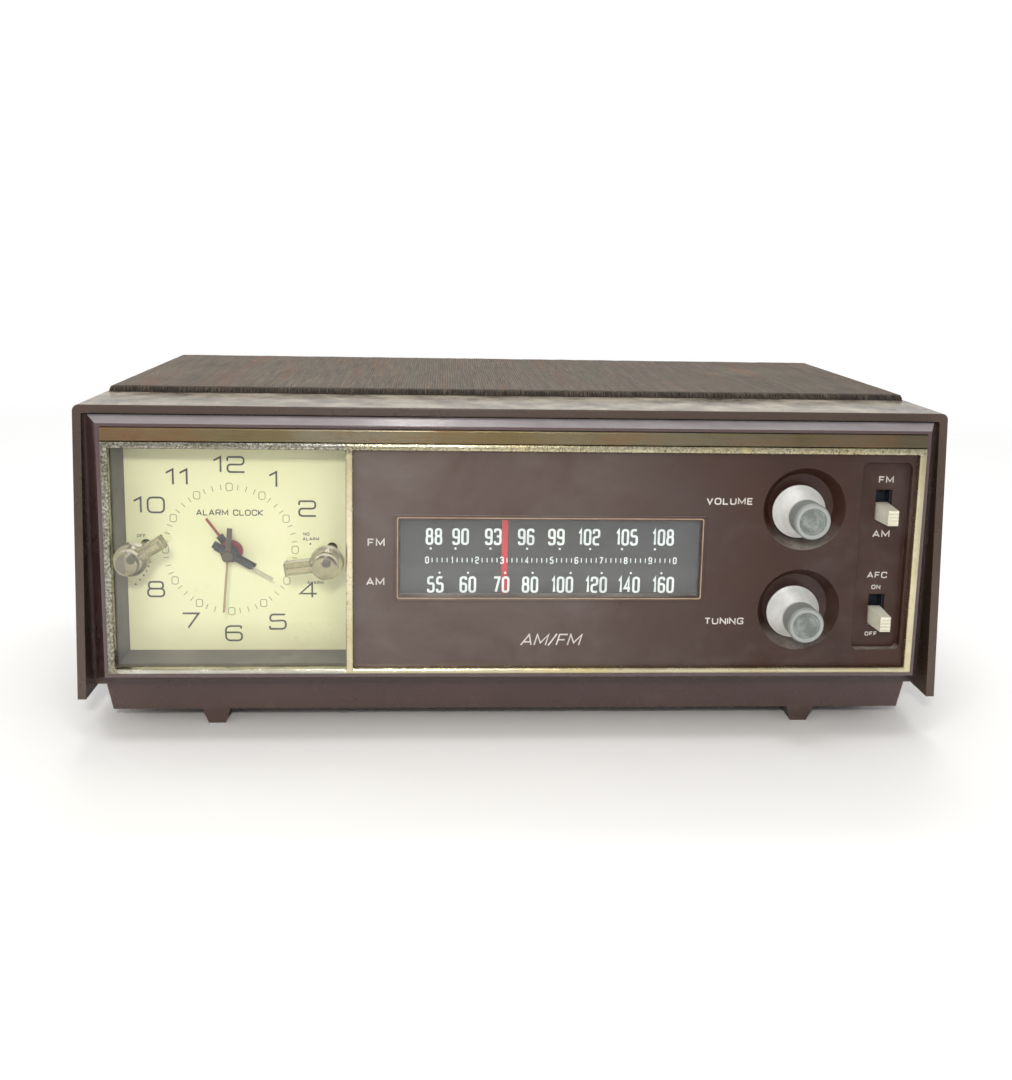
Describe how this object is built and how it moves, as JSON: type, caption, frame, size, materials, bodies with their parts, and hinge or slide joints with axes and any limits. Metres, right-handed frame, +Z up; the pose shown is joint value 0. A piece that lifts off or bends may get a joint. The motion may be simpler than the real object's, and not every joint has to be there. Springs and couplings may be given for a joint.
{
  "type": "alarm clock radio",
  "caption": "Table-top alarm clock radio: square lit clock dial, slide-rule tuner, metal knobs, slide switches, cloth grille on top.",
  "frame": {"origin": "middle of the footprint, on the plane that the four feet stand on", "axes": "+Z up, +Y towards the back, +X to the right seen from the front"},
  "size_m": [0.305, 0.192, 0.12],
  "materials": {
    "brown_plastic": "moulded, satin gloss",
    "purple_brown_plastic": "moulded, satin",
    "panel_plastic": "moulded, faintly mottled",
    "gold_foil": "brushed, spotted with tarnish",
    "worn_plating": "worn bright plating over gold lacquer",
    "clear_lens": "clear acrylic",
    "grey_scale": "printed scale",
    "red_pointer": "fluorescent red",
    "grey_plastic": "satin grey",
    "cream_dial": "printed cream card",
    "steel": "zinc plated",
    "brass": "turned",
    "black_plastic": "moulded",
    "alarm_red": "red lacquer",
    "hand_black": "blue-black lacquer",
    "hand_tan": "tan lacquer",
    "clear_knob": "clear moulded acrylic",
    "satin_aluminium": "satin turned",
    "ivory_plastic": "ivory",
    "cord": "braided",
    "aluminium": "stamped",
    "lamp_glass": "small bulb",
    "paper_cone": "felted paper",
    "hardboard": "hardboard",
    "grille_fabric": "woven tweed",
    "board_laminate": "phenolic laminate",
    "ferrite": "ferrite with wound coils"
  },
  "bodies": {
    "cabinet": {"cabinet_shell": "brown_plastic", "base_pan": "brown_plastic", "feet": "brown_plastic", "front_bezel": "purple_brown_plastic", "gold_band": "gold_foil", "trim_frame": "worn_plating", "control_panel": "panel_plastic", "tuner_lens": "clear_lens", "tuner_scale": "grey_scale", "clock_surround": "grey_plastic", "clock_crystal": "clear_lens", "clock_dial": "cream_dial", "movement_frame": "steel", "motor_stator": "steel", "clock_switch_bodies": "black_plastic", "slide_switch_bodies": "steel", "dial_cord": "cord", "chassis_plate": "steel", "dial_lamps": "lamp_glass", "volume_control_body": "steel", "tuning_capacitor": "aluminium", "speaker_basket": "steel", "speaker_cone": "paper_cone", "grille_board": "hardboard", "grille_cloth": "grille_fabric", "circuit_board": "board_laminate", "coil_cans": "aluminium", "filter_capacitors": "black_plastic", "mains_transformer": "steel", "ferrite_aerial": "ferrite", "back_cover": "black_plastic", "back_screws": "steel", "cord_gland": "black_plastic"},
    "volume": {"volume_knob": "satin_aluminium", "volume_shaft": "steel"},
    "tuning": {"tuning_knob": "satin_aluminium", "tuning_shaft": "steel"},
    "pointer": {"tuner_pointer": "red_pointer"},
    "drum": {"dial_drum": "ivory_plastic", "capacitor_rotor": "aluminium"},
    "idler_left_body": {"idler_left": "ivory_plastic"},
    "idler_right_body": {"idler_right": "ivory_plastic"},
    "band_button": {"band_switch_button": "ivory_plastic"},
    "afc_button": {"afc_switch_button": "ivory_plastic"},
    "sleep": {"sleep_knob": "clear_knob"},
    "alarm_mode": {"alarm_mode_knob": "clear_knob"},
    "time_set": {"time_set_knob": "black_plastic", "time_set_shaft": "steel"},
    "motion": {"motion_wheel": "brass"},
    "minute": {"minute_hand": "hand_black", "cannon_pinion": "brass"},
    "hour": {"hour_hand": "hand_black", "hour_wheel": "brass"},
    "alarm_set": {"alarm_set_knob": "black_plastic", "alarm_set_shaft": "steel"},
    "alarm": {"alarm_hand": "alarm_red", "alarm_wheel": "brass"},
    "second": {"second_hand": "hand_tan", "second_arbor": "brass"},
    "rotor": {"motor_rotor": "steel"}
  },
  "joints": [
    {"name": "volume_turn", "type": "hinge", "parent": "cabinet", "child": "volume", "pos_m": [0.0968, -0.082, 0.0846], "axis": [0, 1, 0], "range_deg": [-150, 150]},
    {"name": "tuning_turn", "type": "hinge", "parent": "cabinet", "child": "tuning", "pos_m": [0.0968, -0.082, 0.0486], "axis": [0, 1, 0], "range_deg": [-534, 1145]},
    {"name": "pointer_travel", "type": "slide", "parent": "cabinet", "child": "pointer", "axis": [1, 0, 0], "range_m": [-0.028, 0.06]},
    {"name": "drum_turn", "type": "hinge", "parent": "cabinet", "child": "drum", "pos_m": [0.015, -0.0655, 0.056], "axis": [0, 1, 0], "range_deg": [-57, 122]},
    {"name": "idler_left_turn", "type": "hinge", "parent": "cabinet", "child": "idler_left_body", "pos_m": [-0.046, -0.0655, 0.088], "axis": [0, 1, 0], "range_deg": [-401, 859]},
    {"name": "idler_right_turn", "type": "hinge", "parent": "cabinet", "child": "idler_right_body", "pos_m": [0.068, -0.0655, 0.088], "axis": [0, 1, 0], "range_deg": [-401, 859]},
    {"name": "band_switch_slide", "type": "slide", "parent": "cabinet", "child": "band_button", "axis": [0, 0, 1], "range_m": [0, 0.0046]},
    {"name": "afc_switch_slide", "type": "slide", "parent": "cabinet", "child": "afc_button", "axis": [0, 0, 1], "range_m": [0, 0.0046]},
    {"name": "sleep_turn", "type": "hinge", "parent": "cabinet", "child": "sleep", "pos_m": [-0.1301, -0.084, 0.0676], "axis": [0, 1, 0], "range_deg": [0, 100]},
    {"name": "alarm_mode_turn", "type": "hinge", "parent": "cabinet", "child": "alarm_mode", "pos_m": [-0.0653, -0.084, 0.0666], "axis": [0, 1, 0], "range_deg": [-50, 50]},
    {"name": "time_set_turn", "type": "hinge", "parent": "cabinet", "child": "time_set", "pos_m": [-0.08981, 0.032, 0.0478], "axis": [0, 1, 0], "continuous": true},
    {"name": "motion_wheel_turn", "type": "hinge", "parent": "cabinet", "child": "motion", "pos_m": [-0.1002, -0.057, 0.0538], "axis": [0, 1, 0], "continuous": true},
    {"name": "minute_turn", "type": "hinge", "parent": "cabinet", "child": "minute", "pos_m": [-0.1002, -0.068, 0.0658], "axis": [0, 1, 0], "continuous": true},
    {"name": "hour_turn", "type": "hinge", "parent": "cabinet", "child": "hour", "pos_m": [-0.1002, -0.068, 0.0658], "axis": [0, 1, 0], "continuous": true},
    {"name": "alarm_set_turn", "type": "hinge", "parent": "cabinet", "child": "alarm_set", "pos_m": [-0.11429, 0.032, 0.06067], "axis": [0, 1, 0], "continuous": true},
    {"name": "alarm_turn", "type": "hinge", "parent": "cabinet", "child": "alarm", "pos_m": [-0.1002, -0.066, 0.0658], "axis": [0, 1, 0], "continuous": true},
    {"name": "rotor_turn", "type": "hinge", "parent": "cabinet", "child": "rotor", "pos_m": [-0.09002, -0.028, 0.07598], "axis": [0, 1, 0], "continuous": true},
    {"name": "second_turn", "type": "hinge", "parent": "cabinet", "child": "second", "pos_m": [-0.1002, -0.068, 0.0658], "axis": [0, 1, 0], "continuous": true}
  ],
  "couplings": [
    {"joint": "pointer_travel", "follows": "tuning_turn", "m_per_rad": 0.003},
    {"joint": "drum_turn", "follows": "tuning_turn", "ratio": 0.10601},
    {"joint": "idler_left_turn", "follows": "tuning_turn", "ratio": 0.75},
    {"joint": "idler_right_turn", "follows": "tuning_turn", "ratio": 0.75},
    {"joint": "motion_wheel_turn", "follows": "time_set_turn", "ratio": -0.33333},
    {"joint": "minute_turn", "follows": "time_set_turn", "ratio": 1},
    {"joint": "hour_turn", "follows": "time_set_turn", "ratio": 0.083333},
    {"joint": "alarm_turn", "follows": "alarm_set_turn", "ratio": -0.5},
    {"joint": "second_turn", "follows": "rotor_turn", "ratio": -0.2}
  ]
}
